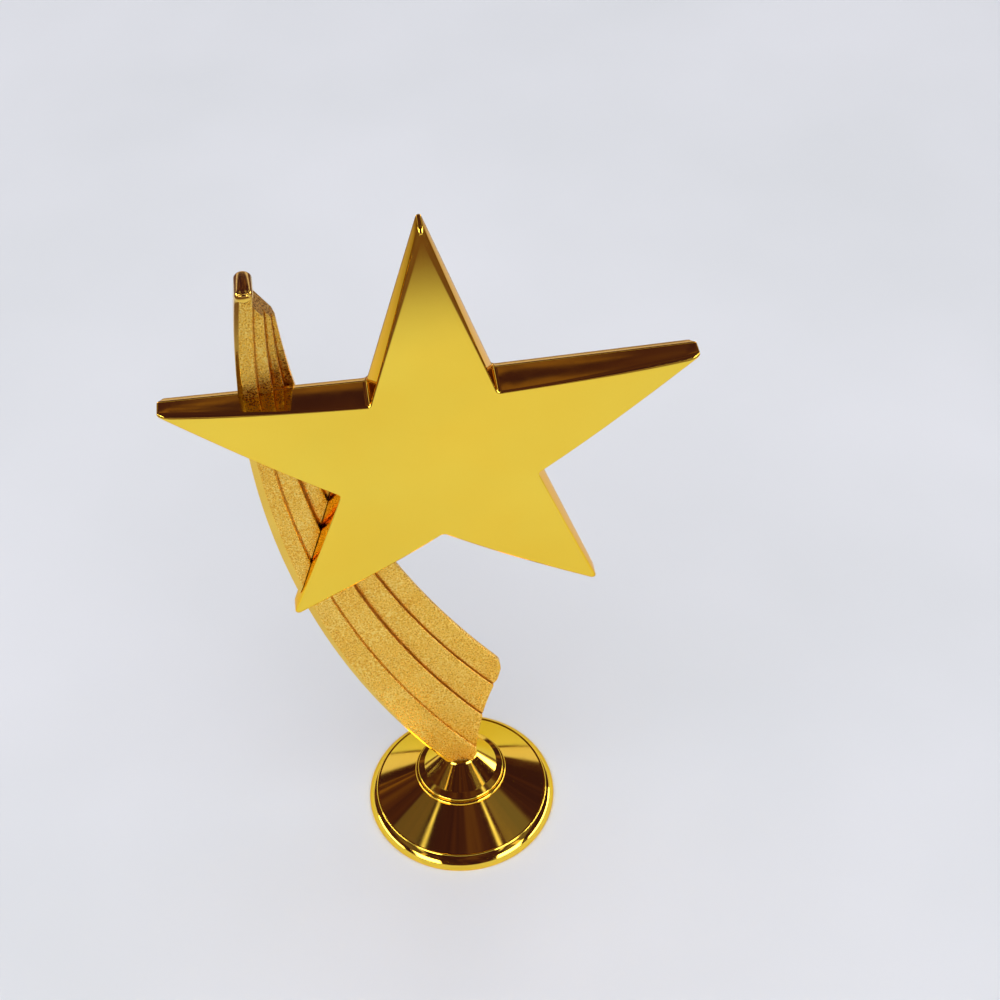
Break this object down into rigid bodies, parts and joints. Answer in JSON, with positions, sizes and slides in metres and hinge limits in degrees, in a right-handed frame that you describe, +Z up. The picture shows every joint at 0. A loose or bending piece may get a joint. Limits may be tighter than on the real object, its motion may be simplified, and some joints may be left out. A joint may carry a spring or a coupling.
{
  "type": "star trophy",
  "caption": "Gold star trophy: a domed five-pointed star on a swept, grooved comet tail over a round weighted foot.",
  "frame": {"origin": "centre of the round foot's underside, on the table", "axes": "+Z up, +Y to the back, the star's domed front faces -Y, and +X is to the right seen from the front"},
  "size_m": [0.1181, 0.0508, 0.1981],
  "materials": {
    "mirror_gold": "vacuum-metallised gold on ABS, mirror smooth",
    "satin_gold": "vacuum-metallised gold on ABS, satin",
    "grained_gold": "vacuum-metallised gold on ABS over a fine sand grain",
    "insert_brass": "machined",
    "zinc_steel": "zinc plated",
    "weight_iron": "as cast",
    "pad_foam": "matt closed-cell foam"
  },
  "bodies": {
    "root": {"star_front": "mirror_gold", "star_back": "satin_gold", "star_screws": "zinc_steel", "tail": "grained_gold", "tail_cover": "satin_gold", "tail_insert": "insert_brass", "neck": "mirror_gold", "foot": "mirror_gold", "foot_weight": "weight_iron", "tie_screw": "zinc_steel", "tie_washer": "zinc_steel", "foot_pad": "pad_foam"}
  },
  "joints": []
}
